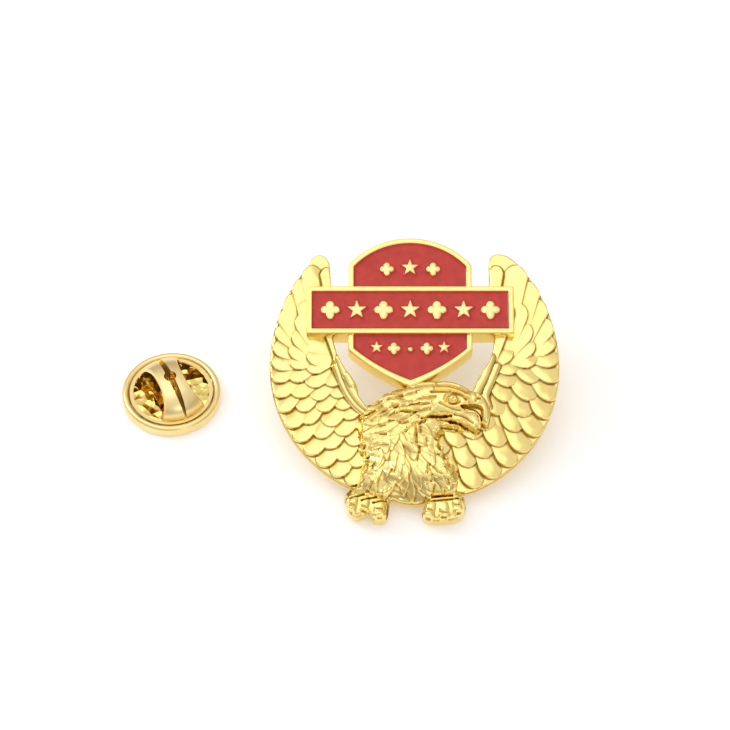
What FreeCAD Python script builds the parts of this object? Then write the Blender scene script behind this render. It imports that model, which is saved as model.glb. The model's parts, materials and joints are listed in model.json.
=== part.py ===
"""Eagle lapel pin with a red enamel crest, and its butterfly clutch lying beside it.

The badge is one gold plated die casting: two raised wings of overlapping feathers, the eagle's body, a
shield and a banner. Red enamel lies in three recesses, and a pointed nail post is soldered to the back. The
badge lies face up, propped on the tip of its post and the back edge of its feet. The clutch is a rolled
cup, a spring plate and two squeeze wings, each with a jaw that grips the groove near the post's tip.

Units are millimetres. Row frame: +X to the badge's right, +Y from its feet to its wing tips along the
table, +Z up. Badge frame: u to the right, v from the feet to the wing tips, w out of the front, with w = 0
at the flat back. Clutch frame: y along the slit between the wings, x across it, z up from the flat side
that meets the cloth.
"""

import FreeCAD, Part  # in this order: importing Part first crashes
import math
import os

from FreeCAD import Placement, Rotation, Vector

OUT = "parts"

# Driving dimensions, one spreadsheet cell each.
SIZES = {
    # nail post and its solder
    "post_radius": 0.55,
    "post_length": 8.6,
    "post_v": 25.25,
    "point_length": 1.3,
    "point_radius": 0.15,
    "nose_radius": 0.5,
    "groove_radius": 0.38,
    "groove_width": 0.5,
    "groove_from_tip": 2.1,
    "head_radius": 1.5,
    "head_thick": 0.22,
    "solder_radius": 2.3,
    "solder_height": 0.34,
    "pocket_radius": 2.45,
    "pocket_depth": 0.6,
    # wings and feathers
    "edge_centre_u": 0.5,
    "edge_centre_v": 19.0,
    "edge_half_width": 16.8,
    "edge_rise": 18.6,
    "edge_drop": 16.6,
    "plate_inset": 0.8,
    "plate_depth": 1.5,
    "feather_half_width": 1.35,
    "feather_length": 5.0,
    "feather_row_gap": 3.1,
    "feather_row_step": 0.22,
    "feather_stagger": 0.09,
    # crest
    "shield_half_width": 7.2,
    "shield_depth": 2.7,
    "shield_shoulder_v": 31.0,
    "shield_top_v": 34.4,
    "shield_corner_v": 20.5,
    "shield_point_v": 15.9,
    "crest_rim": 0.65,
    "banner_half_width": 12.05,
    "banner_low_v": 22.3,
    "banner_high_v": 28.2,
    "banner_depth": 3.1,
    "recess_depth": 0.7,
    "enamel_depth": 0.45,
    # clutch
    "clutch_x": -28.0,
    "clutch_y": 18.3,
    "clutch_turn": 25.0,
    "cup_radius": 5.8,
    "cup_floor": 0.3,
    "cup_height": 1.5,
    "roll_radius": 0.42,
    "cup_hole_radius": 0.7,
    "funnel_radius": 1.5,
    "funnel_height": 0.2,
    "plate_radius": 4.9,
    "plate_thick": 0.25,
    "plate_z": 1.1,
    "window_half_length": 4.4,
    "window_inner_x": 0.95,
    "window_radius": 4.45,
    "channel_radius": 0.72,
    "wing_foot_z": 1.4,
    "wing_half_length": 4.4,
    "wing_height": 2.9,
    "wing_reach": 4.6,
    "wing_shell": 0.28,
    "slit_foot": 0.08,
    "slit_top": 0.36,
    "mouth_top": 1.35,
    "mouth_foot": 2.7,
    "stem_x": 0.35,
    "stem_thick": 0.25,
    "stem_width": 0.3,
    "jaw_z": 0.62,
    "jaw_thick": 0.2,
    "jaw_half_width": 0.9,
    "jaw_end": 1.9,
    "jaw_clearance": 0.04,
}

# Rounded masses of the eagle in the badge frame: u, v and w of the centre, three radii, and the turn about w.
MASSES = {
    "chest": (-0.9, 7.4, 0.6, 5.0, 5.4, 3.0, 15),
    "neck": (0.0, 11.6, 0.6, 6.6, 3.5, 3.0, 24),
    "head": (4.4, 13.5, 0.7, 3.4, 2.9, 3.2, -10),
    "beak": (7.2, 13.0, 0.6, 1.9, 1.35, 2.6, -22),
    "beak_hook": (8.35, 11.7, 0.5, 0.62, 1.35, 2.1, 4),
    "beak_lower": (6.6, 11.5, 0.5, 1.5, 0.6, 2.0, -14),
    "left_thigh": (-4.6, 4.6, 0.5, 2.7, 2.5, 2.7, 0),
    "right_thigh": (2.9, 4.3, 0.5, 3.2, 2.7, 2.6, -20),
    "left_outer_toe": (-6.6, 1.75, 0.3, 0.95, 1.75, 2.3, 12),
    "left_middle_toe": (-5.1, 1.5, 0.3, 0.85, 1.5, 2.4, 4),
    "left_inner_toe": (-3.5, 1.45, 0.3, 0.95, 1.45, 2.4, -4),
    "right_inner_toe": (2.1, 1.5, 0.3, 0.9, 1.5, 2.4, 16),
    "right_middle_toe": (3.6, 1.45, 0.3, 0.85, 1.45, 2.4, 4),
    "right_outer_toe": (5.0, 2.0, 0.3, 1.0, 1.7, 2.3, -18),
    "left_wrist": (-7.3, 16.7, 0.4, 1.25, 1.6, 2.3, 20),
    "left_forearm": (-6.5, 14.6, 0.4, 0.95, 2.9, 2.3, 25),
    "right_wrist": (8.2, 17.0, 0.4, 0.95, 1.7, 2.2, -35),
}

# Upper edge of the wings' plate, from the left wing tip over the neck and head to the right wing tip.
INNER_EDGE = [
    [(-11.0, 32.2), (-9.7, 32.0), (-9.3, 30.6), (-9.1, 26.0), (-9.0, 22.4)],
    [(-9.0, 22.4), (-8.5, 20.2), (-7.6, 18.5), (-6.5, 17.2), (-6.1, 16.2), (-6.4, 15.2), (-5.5, 14.0)],
    [(-5.5, 14.0), (-3.0, 14.7), (-0.7, 15.7), (1.1, 16.3), (3.2, 16.6), (5.0, 16.4), (7.3, 15.3)],
    [(7.3, 15.3), (7.8, 16.8), (8.5, 18.2), (9.3, 19.4), (9.8, 22.4)],
    [(9.8, 22.4), (9.6, 26.0), (9.3, 30.4), (9.6, 32.0), (10.9, 32.2)],
]
# Lower edge of the plate, under the body from the left foot to the right foot.
LOWER_EDGE = [(-7.4, 4.3), (-6.2, 2.6), (-2.6, 2.2), (0.4, 1.9), (4.0, 2.4), (5.7, 4.1)]
# Angles on the wing's outer edge, in degrees above the +u direction, from the tip to the feet.
EDGE_ANGLES = [47, 34, 20, 5, -10, -25, -40, -52]

# Feather rows: distance in rows from the outer edge, the first and last edge angle, and how many feathers.
FEATHER_ROWS = [(0, 49, -56, 15), (1, 38, -58, 13), (2, 16, -56, 9), (3, -22, -58, 5)]
# A feather points this many degrees round from its place on the edge: lead plus turn times the edge angle.
FEATHER_LEAD = 15.0
FEATHER_TURN = 1.6

# Inner radius of a star, as a share of its outer radius.
STAR_WAIST = 0.42
PETAL_SHARE = 0.8
HEART_SHARE = 0.5
# How far a cutter reaches past the metal it cuts.
CUT_PAST = 1.0

# How far the shield's turning points move for each millimetre of inset, and where its foot bulges: shares
# of the
# half width and of the height from its point to its corners.
POINT_PULL = 1.3
SHOULDER_PULL = 0.3
CORNER_PULL = 0.2
FOOT_BULGE = (0.6, 0.5)

# A block that cuts the back flat, in mm, and how high the solder swells beside the post's head.
BACK_SPAN = 60.0
BACK_DEPTH = 10.0
SOLDER_SWELL = 0.72
# Ornament centres in the badge frame, with their radius and shape.
ORNAMENTS = {
    "banner": [(k * 3.1, 25.25, 1.25, ("star", "flower")[k % 2]) for k in range(-3, 4)],
    "top": [(-2.7, 30.5, 0.95, "flower"), (0.0, 30.7, 1.1, "star"), (2.7, 30.5, 0.95, "flower")],
    "bottom": [
        (-3.9, 20.75, 0.85, "star"),
        (-1.9, 20.6, 0.85, "flower"),
        (0.0, 20.5, 0.28, "dot"),
        (1.9, 20.6, 0.85, "flower"),
        (3.9, 20.75, 0.85, "star"),
    ],
}


def make_sheet(doc):
    """The driving dimensions, each in a cell with an alias."""
    sheet = doc.addObject("Spreadsheet::Sheet", "Sizes")
    cells = dict(SIZES)
    for name, values in MASSES.items():
        for key, value in zip(("u", "v", "w", "half_u", "half_v", "half_w", "turn"), values):
            cells[f"{name}_{key}"] = value
    for row, (alias, value) in enumerate(cells.items(), 1):
        sheet.set(f"A{row}", alias)
        sheet.set(f"B{row}", str(value))
        sheet.setAlias(f"B{row}", alias)
    doc.recompute()
    return sheet


def bind(obj, **expressions):
    """Binds properties to sheet expressions, in which a bare word is an alias."""
    for prop, expression in expressions.items():
        words = expression.split()
        obj.setExpression(prop, " ".join("Sizes." + w if w[0].isalpha() else w for w in words))


def feature(doc, name, shape):
    """A Part::Feature that holds a shape."""
    obj = doc.addObject("Part::Feature", name)
    obj.Shape = shape
    return obj


def boolean(doc, kind, name, base, tool):
    """Part::Cut or Part::Common of two objects."""
    obj = doc.addObject(kind, name)
    obj.Base = base
    obj.Tool = tool
    return obj


def fuse(doc, name, members):
    """Part::MultiFuse of several objects."""
    obj = doc.addObject("Part::MultiFuse", name)
    obj.Shapes = members
    return obj


def spline(points, w=0.0):
    """A smooth edge through points of the badge frame."""
    curve = Part.BSplineCurve()
    curve.interpolate([Vector(u, v, w) for u, v in points])
    return curve.toShape()


def prism(edges, depth, w=0.0):
    """A solid of closed edges, from w to w + depth."""
    face = Part.Face(Part.Wire(Part.__sortEdges__(edges)))
    face.translate(Vector(0, 0, w))
    return face.extrude(Vector(0, 0, depth))


# ---------------------------------------------------------------- casting


def edge_point(sizes, side, angle, inset=0.0):
    """A point on a wing's outer edge. side is +1 for the wing at +u."""
    a = math.radians(angle)
    reach_v = sizes.edge_rise if angle > 0 else sizes.edge_drop
    u = sizes.edge_centre_u + side * (sizes.edge_half_width - inset) * math.cos(a)
    return u, sizes.edge_centre_v + (reach_v - inset) * math.sin(a)


def wing_prism(sizes, inset, depth):
    """A prism over both wings and the body, whose outer edge lies inset inside the feather tips."""
    left = [edge_point(sizes, -1, a, inset) for a in EDGE_ANGLES]
    right = [edge_point(sizes, 1, a, inset) for a in EDGE_ANGLES]
    edges = [spline(run) for run in INNER_EDGE]
    edges.append(spline([INNER_EDGE[0][0]] + left + [LOWER_EDGE[0]]))
    edges.append(spline(LOWER_EDGE))
    edges.append(spline([LOWER_EDGE[-1]] + right[::-1] + [INNER_EDGE[-1][-1]]))
    return prism(edges, depth)


def feather(tip, angle, half_width, length, depth):
    """One feather: a tongue with a round tip, lying at an angle, its tip at the point tip."""
    back, front = -length, -half_width
    corners = [Vector(back, half_width, 0), Vector(back, -half_width, 0)]
    sides = [Vector(front, -half_width, 0), Vector(front, half_width, 0)]
    edges = [
        Part.LineSegment(corners[0], corners[1]).toShape(),
        Part.LineSegment(corners[1], sides[0]).toShape(),
        Part.Arc(sides[0], Vector(0, 0, 0), sides[1]).toShape(),
        Part.LineSegment(sides[1], corners[0]).toShape(),
    ]
    shape = Part.Face(Part.Wire(edges)).extrude(Vector(0, 0, depth))
    shape.Placement = Placement(Vector(tip[0], tip[1], 0), Rotation(Vector(0, 0, 1), angle))
    return shape


def feathers(doc, sizes, side, name):
    """Overlapping rows of feathers on one wing, each row higher than the one outside it."""
    made = []
    for row, first, last, count in FEATHER_ROWS:
        for k in range(count):
            edge_angle = first + (last - first) * k / (count - 1)
            turn = FEATHER_LEAD + FEATHER_TURN * edge_angle
            heading = turn if side > 0 else 180 - turn
            a = math.radians(heading)
            u, v = edge_point(sizes, side, edge_angle)
            back = row * sizes.feather_row_gap
            tip = (u - back * math.cos(a), v - back * math.sin(a))
            depth = sizes.plate_depth + row * sizes.feather_row_step + (k % 2 + 1) * sizes.feather_stagger
            made.append(feather(tip, heading, sizes.feather_half_width, sizes.feather_length, depth))
    limit = wing_prism(sizes, -sizes.plate_inset, 2 * sizes.plate_depth)
    return feature(doc, name, made[0].multiFuse(made[1:]).common(limit))


def mass(doc, name):
    """One rounded mass of the eagle, whose centre is near the back plane."""
    obj = doc.addObject("Part::Ellipsoid", name.title().replace("_", ""))
    obj.Angle1, obj.Angle2, obj.Angle3 = -90, 90, 360
    bind(obj, Radius1=f"{name}_half_w", Radius2=f"{name}_half_u", Radius3=f"{name}_half_v")
    obj.Placement = Placement(Vector(*MASSES[name][:3]), Rotation(Vector(0, 0, 1), MASSES[name][6]))
    return obj


def shield_edges(sizes, inset):
    """The shield's outline: a round arched top, straight sides and a convex pointed foot."""
    half = sizes.shield_half_width - inset
    top = sizes.shield_top_v - inset
    point = sizes.shield_point_v + inset * POINT_PULL
    shoulder = sizes.shield_shoulder_v - inset * SHOULDER_PULL
    corner = sizes.shield_corner_v + inset * CORNER_PULL
    bulge_u = half * FOOT_BULGE[0]
    bulge_v = point + (corner - point) * FOOT_BULGE[1]
    turns = {
        "left_top": Vector(-half, shoulder, 0),
        "right_top": Vector(half, shoulder, 0),
        "right_foot": Vector(half, corner, 0),
        "point": Vector(0, point, 0),
        "left_foot": Vector(-half, corner, 0),
    }
    return [
        Part.Arc(turns["left_top"], Vector(0, top, 0), turns["right_top"]).toShape(),
        Part.LineSegment(turns["right_top"], turns["right_foot"]).toShape(),
        Part.Arc(turns["right_foot"], Vector(bulge_u, bulge_v, 0), turns["point"]).toShape(),
        Part.Arc(turns["point"], Vector(-bulge_u, bulge_v, 0), turns["left_foot"]).toShape(),
        Part.LineSegment(turns["left_foot"], turns["left_top"]).toShape(),
    ]


def banner(doc):
    """The banner's block across the shield."""
    obj = doc.addObject("Part::Box", "BannerBlock")
    bind(
        obj,
        Length="2 * banner_half_width",
        Width="banner_high_v - banner_low_v",
        Height="banner_depth",
    )
    bind(obj, **{"Placement.Base.x": "0 - banner_half_width", "Placement.Base.y": "banner_low_v"})
    return obj


def recess_shape(sizes, field, depth):
    """The hollow of one enamel field, depth deep from its floor."""
    rim = sizes.crest_rim
    low, high = sizes.banner_low_v, sizes.banner_high_v
    if field == "banner":
        half = sizes.banner_half_width - rim
        floor = sizes.banner_depth - sizes.recess_depth
        return Part.makeBox(2 * half, high - low - 2 * rim, depth, Vector(-half, low + rim, floor))
    floor = sizes.shield_depth - sizes.recess_depth
    whole = prism(shield_edges(sizes, rim), depth, floor)
    reach = sizes.shield_top_v
    limit = Vector(-reach, high if field == "top" else low - reach, 0)
    return whole.common(Part.makeBox(2 * reach, reach, reach, limit))


def ornament(u, v, radius, kind, depth, w):
    """One raised ornament: a five pointed star, a four petalled flower or a dot."""
    if kind == "dot":
        return Part.makeCylinder(radius, depth, Vector(u, v, w))
    if kind == "star":
        ring = [radius if k % 2 == 0 else radius * STAR_WAIST for k in range(10)]
        turns = [math.pi / 2 + k * math.pi / 5 for k in range(10)]
        corners = [Vector(u + r * math.cos(t), v + r * math.sin(t), w) for r, t in zip(ring, turns)]
        return Part.Face(Part.makePolygon(corners + corners[:1])).extrude(Vector(0, 0, depth))
    reach = radius / 2
    around = [(reach, 0), (0, reach), (-reach, 0), (0, -reach)]
    petals = [Part.makeCylinder(reach * PETAL_SHARE, depth, Vector(u + a, v + b, w)) for a, b in around]
    heart = Part.makeCylinder(reach * HEART_SHARE, depth, Vector(u, v, w))
    return heart.multiFuse(petals)


def ornaments(sizes, field, depth):
    """All the ornaments of one field, standing on the recess floor."""
    face = sizes.banner_depth if field == "banner" else sizes.shield_depth
    floor = face - sizes.recess_depth
    made = [ornament(u, v, radius, kind, depth, floor) for u, v, radius, kind in ORNAMENTS[field]]
    return made[0].multiFuse(made[1:])


def casting(doc, sizes):
    """The whole die casting, with its back cut flat."""
    plate = wing_prism(sizes, sizes.plate_inset, sizes.plate_depth)
    members = [feature(doc, "WingPlate", plate), feathers(doc, sizes, -1, "LeftFeathers")]
    members.append(feathers(doc, sizes, 1, "RightFeathers"))
    members += [mass(doc, name) for name in MASSES]
    members.append(feature(doc, "ShieldBlock", prism(shield_edges(sizes, 0.0), sizes.shield_depth)))
    members.append(banner(doc))
    doc.recompute()
    whole = fuse(doc, "CastingMasses", members)
    fields = [recess_shape(sizes, field, sizes.recess_depth + CUT_PAST) for field in ORNAMENTS]
    hollow = feature(doc, "EnamelRecesses", fields[0].multiFuse(fields[1:]))
    back = doc.addObject("Part::Box", "BehindTheBack")
    back.Length = back.Width = BACK_SPAN
    back.Height = BACK_DEPTH
    back.Placement.Base = Vector(-BACK_SPAN / 2, -BACK_DEPTH, -BACK_DEPTH)
    pocket = doc.addObject("Part::Cylinder", "PostPocket")
    bind(pocket, Radius="pocket_radius", Height="pocket_depth")
    bind(pocket, **{"Placement.Base.y": "post_v"})
    trimmed = boolean(doc, "Part::Cut", "FlatBack", whole, back)
    pocketed = boolean(doc, "Part::Cut", "PocketedBack", trimmed, pocket)
    hollowed = boolean(doc, "Part::Cut", "HollowedCrest", pocketed, hollow)
    raised = [ornaments(sizes, field, sizes.recess_depth) for field in ORNAMENTS]
    relief = feature(doc, "Ornaments", raised[0].multiFuse(raised[1:]))
    return fuse(doc, "badge_casting", [hollowed, relief])


def enamel(doc, sizes, field, label):
    """The enamel in one recess, with the ornaments standing through it."""
    pool = recess_shape(sizes, field, sizes.enamel_depth)
    return feature(doc, label, pool.cut(ornaments(sizes, field, sizes.recess_depth)))


# ---------------------------------------------------------------- post


def revolve_body(doc, label, points, arcs=()):
    """A PartDesign body turned about its z axis from a closed profile of (radius, height) points."""
    body = doc.addObject("PartDesign::Body", label)
    plane = next(f for f in body.Origin.OriginFeatures if f.Role == "XZ_Plane")
    axis = next(f for f in body.Origin.OriginFeatures if f.Role == "Z_Axis")
    sketch = body.newObject("Sketcher::SketchObject", label + "_profile")
    sketch.AttachmentSupport = (plane, [""])
    sketch.MapMode = "FlatFace"
    corners = [Vector(r, z, 0) for r, z in points]
    for k, start in enumerate(corners):
        end = corners[(k + 1) % len(corners)]
        through = dict(arcs).get(k)
        if through:
            sketch.addGeometry(Part.Arc(start, Vector(through[0], through[1], 0), end), False)
        else:
            sketch.addGeometry(Part.LineSegment(start, end), False)
    turned = body.newObject("PartDesign::Revolution", label + "_turned")
    turned.Profile = sketch
    turned.ReferenceAxis = (axis, [""])
    turned.Angle = 360.0
    body.Tip = turned
    return body


def post(doc, sizes):
    """The nail post along -z: a head at z = 0, a shank, a groove, and a slightly thinner nose with the
    point."""
    tip, shank = -sizes.post_length, sizes.post_radius
    groove_low = tip + sizes.groove_from_tip
    groove_high = groove_low + sizes.groove_width
    slope = shank - sizes.groove_radius
    points = [
        (0, 0),
        (0, tip),
        (sizes.point_radius, tip),
        (sizes.nose_radius, tip + sizes.point_length),
        (sizes.nose_radius, groove_low - sizes.nose_radius + sizes.groove_radius),
        (sizes.groove_radius, groove_low),
        (sizes.groove_radius, groove_high),
        (shank, groove_high + slope),
        (shank, -sizes.head_thick),
        (sizes.head_radius, -sizes.head_thick),
        (sizes.head_radius, 0),
    ]
    return revolve_body(doc, "nail_post", points)


def solder(doc, sizes):
    """The solder collar that wraps the post's head in the pocket of the badge's back."""
    points = [
        (sizes.head_radius, 0),
        (sizes.head_radius, -sizes.head_thick),
        (sizes.post_radius, -sizes.head_thick),
        (sizes.post_radius, -sizes.solder_height),
        (sizes.solder_radius, 0),
    ]
    crown = (sizes.head_radius, -sizes.solder_height * SOLDER_SWELL)
    return revolve_body(doc, "solder_collar", points, {3: crown})


# ---------------------------------------------------------------- clutch


def cup(doc, sizes):
    """The cup: a flat floor with a funnel round the post hole, and a rolled rim."""
    r, roll = sizes.cup_radius, sizes.roll_radius
    floor, top = sizes.cup_floor, sizes.cup_height
    hole, funnel = sizes.cup_hole_radius, sizes.funnel_radius
    points = [
        (hole, sizes.funnel_height),
        (funnel, 0),
        (r - roll, 0),
        (r, roll),
        (r, top - roll),
        (r - 2 * roll, top - roll),
        (r - floor, top - roll),
        (r - floor, floor),
        (funnel, floor),
        (hole, floor + sizes.funnel_height),
    ]
    corner = roll * (1 - math.sqrt(0.5))
    return revolve_body(doc, "clutch_cup", points, {2: (r - corner, corner), 4: (r - roll, top)})


def spring_plate(doc, sizes):
    """The round plate clipped under the rolled rim, with a window each side and a slot for the stems."""
    disc = Part.makeCylinder(sizes.plate_radius, sizes.plate_thick, Vector(0, 0, sizes.plate_z))
    tall = sizes.plate_thick + 2 * CUT_PAST
    below = Vector(0, 0, sizes.plate_z - 1)
    inner = Part.makeCylinder(sizes.window_radius, tall, below)
    half, start = sizes.window_half_length, sizes.window_inner_x
    for side in (-1, 1):
        low_x = start if side > 0 else -sizes.plate_radius
        block = Part.makeBox(sizes.plate_radius - start, 2 * half, tall, Vector(low_x, -half, below.z))
        disc = disc.cut(inner.common(block))
    slot_x = sizes.stem_x + 2 * sizes.stem_thick
    slot_y = sizes.jaw_half_width + sizes.stem_thick
    slot = Part.makeBox(2 * slot_x, 2 * slot_y, tall, Vector(-slot_x, -slot_y, below.z))
    return feature(doc, "spring_plate", disc.cut(slot))


def dome(sizes, shrink):
    """Half an egg over the plate, from which a squeeze wing is cut."""
    matrix = FreeCAD.Matrix()
    matrix.scale(sizes.wing_reach - shrink, sizes.wing_half_length - shrink, sizes.wing_height - shrink)
    shape = Part.makeSphere(1.0).transformGeometry(matrix)
    shape.translate(Vector(0, 0, sizes.wing_foot_z))
    return shape


def upright(profile, half_length):
    """A prism along y of a closed profile of (x, z) points."""
    corners = [Vector(x, -half_length, z) for x, z in profile]
    return Part.Face(Part.makePolygon(corners + corners[:1])).extrude(Vector(0, 2 * half_length, 0))


def wing_shell(sizes):
    """One squeeze wing at +x: a hood with a flat back at the slit, open outwards and upwards."""
    foot, top = sizes.wing_foot_z, sizes.wing_foot_z + sizes.wing_height
    reach, shell = sizes.wing_reach, sizes.wing_shell
    back = [(sizes.slit_foot, foot), (sizes.slit_top, top)]
    mouth = [(sizes.mouth_top, top), (sizes.mouth_foot, foot)]
    block = upright(back + mouth, reach * 2)
    inside = [(x + shell, z) for x, z in back] + [(reach, top), (reach, foot)]
    hollow = dome(sizes, shell).common(upright(inside, reach * 2))
    solid = dome(sizes, 0.0).common(block)
    bore = Part.makeCylinder(sizes.channel_radius, top, Vector(0, 0, 0))
    tube = Part.makeCylinder(sizes.channel_radius + shell, top, Vector(0, 0, 0))
    return solid.cut(hollow).fuse(tube.common(solid)).cut(bore)


def jaw_shape(sizes):
    """One jaw at +x: two stems down through the slot, and a notched leaf that meets the post's groove."""
    width, low = 2 * sizes.jaw_half_width, sizes.jaw_z
    start = sizes.slit_foot
    leaf = Part.makeBox(sizes.jaw_end - start, width, sizes.jaw_thick, Vector(start, -width / 2, low))
    notch = Part.makeCylinder(sizes.groove_radius + sizes.jaw_clearance, low + 1)
    height = sizes.wing_foot_z - low
    stems = []
    for low_y in (-sizes.jaw_half_width, sizes.jaw_half_width - sizes.stem_width):
        corner = Vector(sizes.stem_x, low_y, low)
        stems.append(Part.makeBox(sizes.stem_thick, sizes.stem_width, height, corner))
    return leaf.fuse(stems).cut(notch)


def squeeze_part(doc, label, shape, side):
    """A +x wing or jaw, turned to its own side of the slit."""
    if side < 0:
        shape.rotate(Vector(0, 0, 0), Vector(0, 0, 1), 180)
    return feature(doc, label, shape)


# ---------------------------------------------------------------- assembly


def badge_placement(sizes):
    """The badge lies on its feet's back edge and its post's tip. Returns its placement before centring."""
    reach = sizes.post_length - sizes.pocket_depth
    tilt = math.atan2(reach, sizes.post_v - sizes.point_radius)
    return Placement(Vector(0, 0, 0), Rotation(Vector(1, 0, 0), math.degrees(tilt)))


def place(parts, placement):
    """Moves parts, whose own placement comes first."""
    for part in parts:
        part.Placement = placement.multiply(part.Placement)


def centre_on_table(parts):
    """Moves everything so that the origin is the middle of the whole box at the table."""
    box = FreeCAD.BoundBox()
    for part in parts:
        box.add(part.Shape.optimalBoundingBox(False, False))
    shift = Vector(-(box.XMin + box.XMax) / 2, -(box.YMin + box.YMax) / 2, -box.ZMin)
    place(parts, Placement(shift, Rotation()))
    print("table shift", [round(x, 4) for x in shift])


def check(doc, parts):
    """Stops on any failed object, or a sub-part with no valid solid."""
    failed = [o.Name for o in doc.Objects if {"Invalid", "Error"} & set(o.State)]
    if failed:
        raise RuntimeError(f"failed objects: {failed}")
    for part in parts:
        if part.Shape.isNull() or not part.Shape.isValid() or not part.Shape.Solids:
            raise RuntimeError(f"{part.Label} has no valid solid")
        print(part.Label, len(part.Shape.Solids), "solids", round(part.Shape.Volume, 3), "mm3")


def main():
    doc = FreeCAD.newDocument("eagle_pin")
    sizes = make_sheet(doc)
    on_badge = [casting(doc, sizes)]
    for field, label in (("top", "enamel_top"), ("banner", "enamel_banner"), ("bottom", "enamel_bottom")):
        on_badge.append(enamel(doc, sizes, field, label))
    post_parts = [post(doc, sizes), solder(doc, sizes)]
    on_clutch = [cup(doc, sizes), spring_plate(doc, sizes)]
    for side, name in ((-1, "left"), (1, "right")):
        on_clutch.append(squeeze_part(doc, f"{name}_squeeze_wing", wing_shell(sizes), side))
        on_clutch.append(squeeze_part(doc, f"{name}_jaw", jaw_shape(sizes), side))
    doc.recompute()
    place(post_parts, Placement(Vector(0, sizes.post_v, sizes.pocket_depth), Rotation()))
    place(on_badge + post_parts, badge_placement(sizes))
    spin = Rotation(Vector(0, 0, 1), sizes.clutch_turn)
    place(on_clutch, Placement(Vector(sizes.clutch_x, sizes.clutch_y, 0), spin))
    parts = on_badge + post_parts + on_clutch
    centre_on_table(parts)
    check(doc, parts)
    os.makedirs(OUT, exist_ok=True)
    for part in parts:
        part.Shape.exportStep(os.path.join(OUT, part.Label + ".step"))


main()
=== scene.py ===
"""Eagle lapel pin with a red enamel crest, and its butterfly clutch lying beside it.

The badge's relief is worked out as height fields over a fine grid, in the badge's own frame: u to the
right, v from the feet to the wing tips, w out of the front, in millimetres, with w = 0 at the flat back.
Blender is in metres.
"""
import json
import math

import bpy
import numpy as np
from mathutils import Matrix, Vector
from mathutils.geometry import delaunay_2d_cdt


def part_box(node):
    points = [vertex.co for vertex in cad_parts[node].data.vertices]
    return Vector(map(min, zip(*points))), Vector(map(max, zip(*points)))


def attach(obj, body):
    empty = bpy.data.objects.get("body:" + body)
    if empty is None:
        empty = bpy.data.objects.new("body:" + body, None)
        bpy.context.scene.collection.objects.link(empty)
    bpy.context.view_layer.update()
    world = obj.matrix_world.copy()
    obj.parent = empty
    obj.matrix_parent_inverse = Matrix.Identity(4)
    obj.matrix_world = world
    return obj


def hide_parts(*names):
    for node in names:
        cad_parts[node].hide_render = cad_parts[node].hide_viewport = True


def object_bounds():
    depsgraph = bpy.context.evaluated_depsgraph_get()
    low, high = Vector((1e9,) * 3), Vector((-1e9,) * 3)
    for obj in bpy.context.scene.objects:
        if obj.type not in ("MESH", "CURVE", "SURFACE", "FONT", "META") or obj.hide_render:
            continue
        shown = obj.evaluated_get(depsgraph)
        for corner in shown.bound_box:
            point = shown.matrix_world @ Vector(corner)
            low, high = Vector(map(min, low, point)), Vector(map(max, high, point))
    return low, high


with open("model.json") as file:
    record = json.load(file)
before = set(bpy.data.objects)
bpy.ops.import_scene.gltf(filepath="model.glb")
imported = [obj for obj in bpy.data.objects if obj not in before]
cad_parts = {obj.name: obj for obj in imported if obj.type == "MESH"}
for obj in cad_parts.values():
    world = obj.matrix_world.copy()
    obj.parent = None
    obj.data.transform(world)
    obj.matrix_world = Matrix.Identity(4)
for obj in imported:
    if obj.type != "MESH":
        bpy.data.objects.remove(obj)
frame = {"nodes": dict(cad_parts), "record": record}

CAD_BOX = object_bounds()
MM = 0.001
SEED = 7


# ---------------------------------------------------------------- places taken from the frame


def mount(name):
    """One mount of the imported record."""
    return next(m for m in frame["record"]["mounts"] if m["name"] == name)


def badge_matrix():
    """From the badge frame in millimetres to the row frame in metres."""
    back = mount("badge_back")
    out = -Vector(back["axis"])
    up = Vector((0, out.z, -out.y))
    back_mount_v = 10.0
    origin = Vector(back["pos_m"]) - up * back_mount_v * MM
    turn = Matrix((Vector((1, 0, 0)), up, out)).transposed()
    return Matrix.Translation(origin) @ turn.to_4x4() @ Matrix.Scale(MM, 4)


BADGE = badge_matrix()

# ---------------------------------------------------------------- materials


def new_material(name):
    """An empty procedural material: its node tree, and its Principled shader."""
    material = bpy.data.materials.new(name)
    material.use_nodes = True
    tree = material.node_tree
    return material, tree, tree.nodes["Principled BSDF"]


def noise(tree, scale, detail=3.0):
    """A noise texture in object space, scaled in features for each metre."""
    place = tree.nodes.new("ShaderNodeTexCoord")
    texture = tree.nodes.new("ShaderNodeTexNoise")
    texture.inputs["Scale"].default_value = scale
    texture.inputs["Detail"].default_value = detail
    tree.links.new(place.outputs["Object"], texture.inputs["Vector"])
    return texture.outputs["Fac"]


def ramp(tree, factor, stops):
    """A colour ramp through (position, colour) stops."""
    node = tree.nodes.new("ShaderNodeValToRGB")
    while len(node.color_ramp.elements) < len(stops):
        node.color_ramp.elements.new(0.5)
    for element, (position, colour) in zip(node.color_ramp.elements, stops):
        element.position = position
        element.color = (*colour, 1)
    tree.links.new(factor, node.inputs["Fac"])
    return node.outputs["Color"]


def spread(tree, factor, low, high):
    """Maps a 0 to 1 factor onto low to high."""
    node = tree.nodes.new("ShaderNodeMapRange")
    node.inputs["To Min"].default_value = low
    node.inputs["To Max"].default_value = high
    tree.links.new(factor, node.inputs["Value"])
    return node.outputs["Result"]


def vector_math(tree, operation, first, second=None):
    """A vector operation on a socket and, where it needs one, a second socket or a constant vector."""
    node = tree.nodes.new("ShaderNodeVectorMath")
    node.operation = operation
    tree.links.new(first, node.inputs[0])
    if isinstance(second, tuple):
        node.inputs[1].default_value = second
    elif second is not None:
        tree.links.new(second, node.inputs[1])
    return node.outputs[0]


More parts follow.
